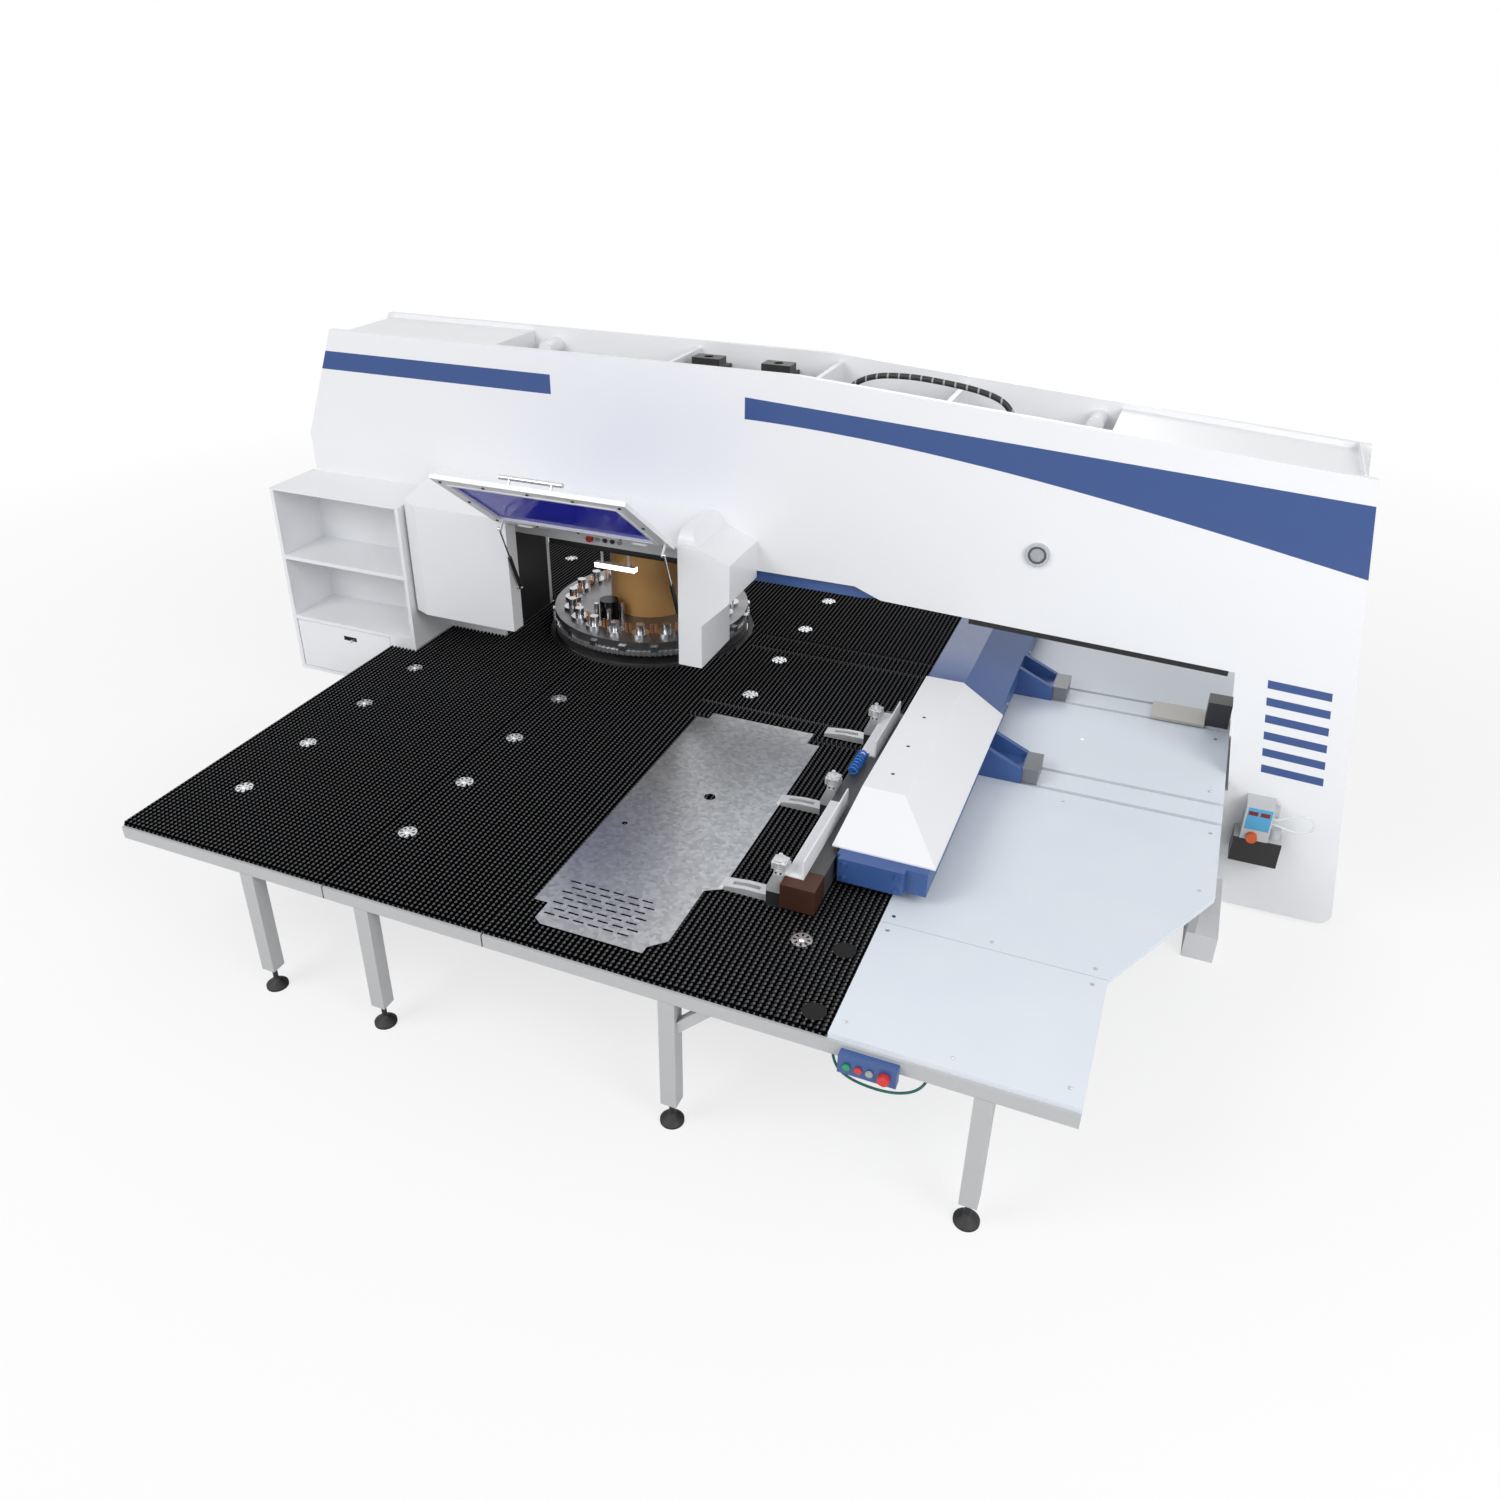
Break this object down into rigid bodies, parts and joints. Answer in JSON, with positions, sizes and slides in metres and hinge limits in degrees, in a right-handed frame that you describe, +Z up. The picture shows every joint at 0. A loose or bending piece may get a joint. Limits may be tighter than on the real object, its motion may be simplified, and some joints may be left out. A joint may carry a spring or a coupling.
{
  "type": "turret punch press",
  "caption": "White and blue CNC turret punch press with a closed frame, brush tables, a cross beam with sheet clamps and an open turret hood",
  "frame": {"origin": "on the floor under the middle of the overall box", "axes": "+X along the long frame to the right post, +Y from the operator's side to the rear, +Z up"},
  "size_m": [5.712, 5.2879, 2.348],
  "materials": {
    "white_panel": "satin powder coat",
    "white_weld": "satin paint",
    "blue_paint": "gloss paint",
    "dark_metal": "dull black oxide",
    "black_rubber": "matt",
    "bright_steel": "bright ground",
    "black_plastic": "matt",
    "blue_glass": "tinted clear",
    "chrome": "polished",
    "red_plastic": "gloss",
    "grey_plastic": "gloss",
    "lamp_white": "lit diffuser",
    "turret_steel": "oiled steel",
    "copper": "coppered spring wire",
    "tan_paint": "satin paint",
    "carriage_steel": "ground, a little rusty",
    "aluminium": "milled",
    "blue_plastic": "gloss",
    "brush": "bristles",
    "panel_sheet": "satin, bluish white",
    "black_metal": "matt black",
    "green_plastic": "gloss",
    "green_rubber": "matt",
    "light_grey": "satin",
    "clear_plastic": "clear tube"
  },
  "bodies": {
    "frame": {"front_plate": "white_panel", "rear_plate": "white_panel", "frame_columns": "white_weld", "upper_web": "white_weld", "top_covers": "white_panel", "head_lip": "blue_paint", "trough_fittings": "dark_metal", "pressure_hose": "black_rubber", "viewing_port": "bright_steel", "cable_track": "black_plastic", "tool_cabinet": "white_panel", "hood_shell": "white_panel", "hood_wing": "white_panel", "control_rail": "white_panel", "work_lamp": "lamp_white", "ram_housing": "dark_metal", "left_brush": "brush", "middle_brush": "brush", "right_brush": "brush", "table_frames": "white_weld", "levelling_feet": "black_rubber", "cover_panels": "panel_sheet", "guide_rails": "panel_sheet", "ball_units": "bright_steel", "drive_motor": "black_metal", "button_box": "blue_paint", "box_cord": "green_rubber", "lubricator": "light_grey", "lube_tube": "clear_plastic"},
    "beam": {"cross_beam": "blue_paint", "beam_cover": "white_panel", "beam_end_cap": "blue_paint"},
    "carriage": {"carriage_bar": "carriage_steel", "carriage_guards": "white_panel", "clamp_bodies": "aluminium", "air_coil": "blue_plastic", "workpiece": "bright_steel"},
    "jaws": {"clamp_jaws": "aluminium"},
    "turret": {"upper_turret": "turret_steel", "tool_guides": "bright_steel", "tool_springs": "copper", "turret_hub": "tan_paint"},
    "die_turret": {"lower_turret": "turret_steel"},
    "striker": {"ram_striker": "bright_steel"},
    "hatch": {"hatch_frame": "white_panel", "hatch_window": "blue_glass", "hatch_handle": "chrome"},
    "struts": {"strut_barrels": "black_plastic"},
    "rods": {"strut_rods": "chrome"},
    "door": {"cabinet_door": "white_panel", "cabinet_lock": "black_plastic"},
    "stop_hood": {"hood_stop": "red_plastic"},
    "key_1": {"hood_button_1": "grey_plastic"},
    "key_2": {"hood_button_2": "black_plastic"},
    "key_3": {"hood_button_3": "black_plastic"},
    "key_4": {"hood_button_4": "grey_plastic"},
    "stop_box": {"box_stop": "red_plastic"},
    "box_key_1": {"box_button_1": "green_plastic"},
    "box_key_2": {"box_button_2": "red_plastic"},
    "box_key_3": {"box_button_3": "grey_plastic"}
  },
  "joints": [
    {"name": "beam_travel", "type": "slide", "parent": "frame", "child": "beam", "axis": [1, 0, 0], "range_m": [-0.7, 0.39]},
    {"name": "carriage_travel", "type": "slide", "parent": "beam", "child": "carriage", "axis": [0, 1, 0], "range_m": [-0.1, 2.2]},
    {"name": "jaw_lift", "type": "hinge", "parent": "carriage", "child": "jaws", "pos_m": [0.664, -1.297, 0.7333], "axis": [0, 1, 0], "range_deg": [0, 8]},
    {"name": "turret_turn", "type": "hinge", "parent": "frame", "child": "turret", "pos_m": [-0.93, 0.215, 0.9], "axis": [0, 0, 1], "continuous": true},
    {"name": "die_turret_turn", "type": "hinge", "parent": "frame", "child": "die_turret", "pos_m": [-0.93, 0.215, 0.7], "axis": [0, 0, 1], "continuous": true},
    {"name": "ram_stroke", "type": "slide", "parent": "frame", "child": "striker", "axis": [0, 0, 1], "range_m": [-0.015, 0.01]},
    {"name": "hatch_swing", "type": "hinge", "parent": "frame", "child": "hatch", "pos_m": [-0.878, -0.654, 1.56], "axis": [1, 0, 0], "range_deg": [0, 127]},
    {"name": "strut_swing", "type": "hinge", "parent": "frame", "child": "struts", "pos_m": [-0.847, -0.58, 1.18], "axis": [1, 0, 0], "range_deg": [-18.5, 0.5]},
    {"name": "rod_slide", "type": "slide", "parent": "struts", "child": "rods", "axis": [0, -0.3747, 0.9272], "range_m": [-0.0862, 0.001]},
    {"name": "door_swing", "type": "hinge", "parent": "frame", "child": "door", "pos_m": [-2.82, -0.629, 0.59], "axis": [0, 0, 1], "range_deg": [-95, 0]},
    {"name": "hood_stop_push", "type": "slide", "parent": "frame", "child": "stop_hood", "axis": [0, 1, 0], "range_m": [0, 0.003], "stiffness_N_per_m": 600},
    {"name": "key_1_push", "type": "slide", "parent": "frame", "child": "key_1", "axis": [0, 1, 0], "range_m": [0, 0.003], "stiffness_N_per_m": 600},
    {"name": "key_2_push", "type": "slide", "parent": "frame", "child": "key_2", "axis": [0, 1, 0], "range_m": [0, 0.003], "stiffness_N_per_m": 600},
    {"name": "key_3_push", "type": "slide", "parent": "frame", "child": "key_3", "axis": [0, 1, 0], "range_m": [0, 0.003], "stiffness_N_per_m": 600},
    {"name": "key_4_push", "type": "slide", "parent": "frame", "child": "key_4", "axis": [0, 1, 0], "range_m": [0, 0.003], "stiffness_N_per_m": 600},
    {"name": "box_stop_push", "type": "slide", "parent": "frame", "child": "stop_box", "axis": [0, 1, 0], "range_m": [0, 0.003], "stiffness_N_per_m": 600},
    {"name": "box_key_1_push", "type": "slide", "parent": "frame", "child": "box_key_1", "axis": [0, 1, 0], "range_m": [0, 0.003], "stiffness_N_per_m": 600},
    {"name": "box_key_2_push", "type": "slide", "parent": "frame", "child": "box_key_2", "axis": [0, 1, 0], "range_m": [0, 0.003], "stiffness_N_per_m": 600},
    {"name": "box_key_3_push", "type": "slide", "parent": "frame", "child": "box_key_3", "axis": [0, 1, 0], "range_m": [0, 0.003], "stiffness_N_per_m": 600}
  ],
  "couplings": [
    {"joint": "die_turret_turn", "follows": "turret_turn", "ratio": 1},
    {"joint": "strut_swing", "follows": "hatch_swing", "ratio": -0.13948},
    {"joint": "rod_slide", "follows": "hatch_swing", "m_per_rad": -0.038271}
  ]
}
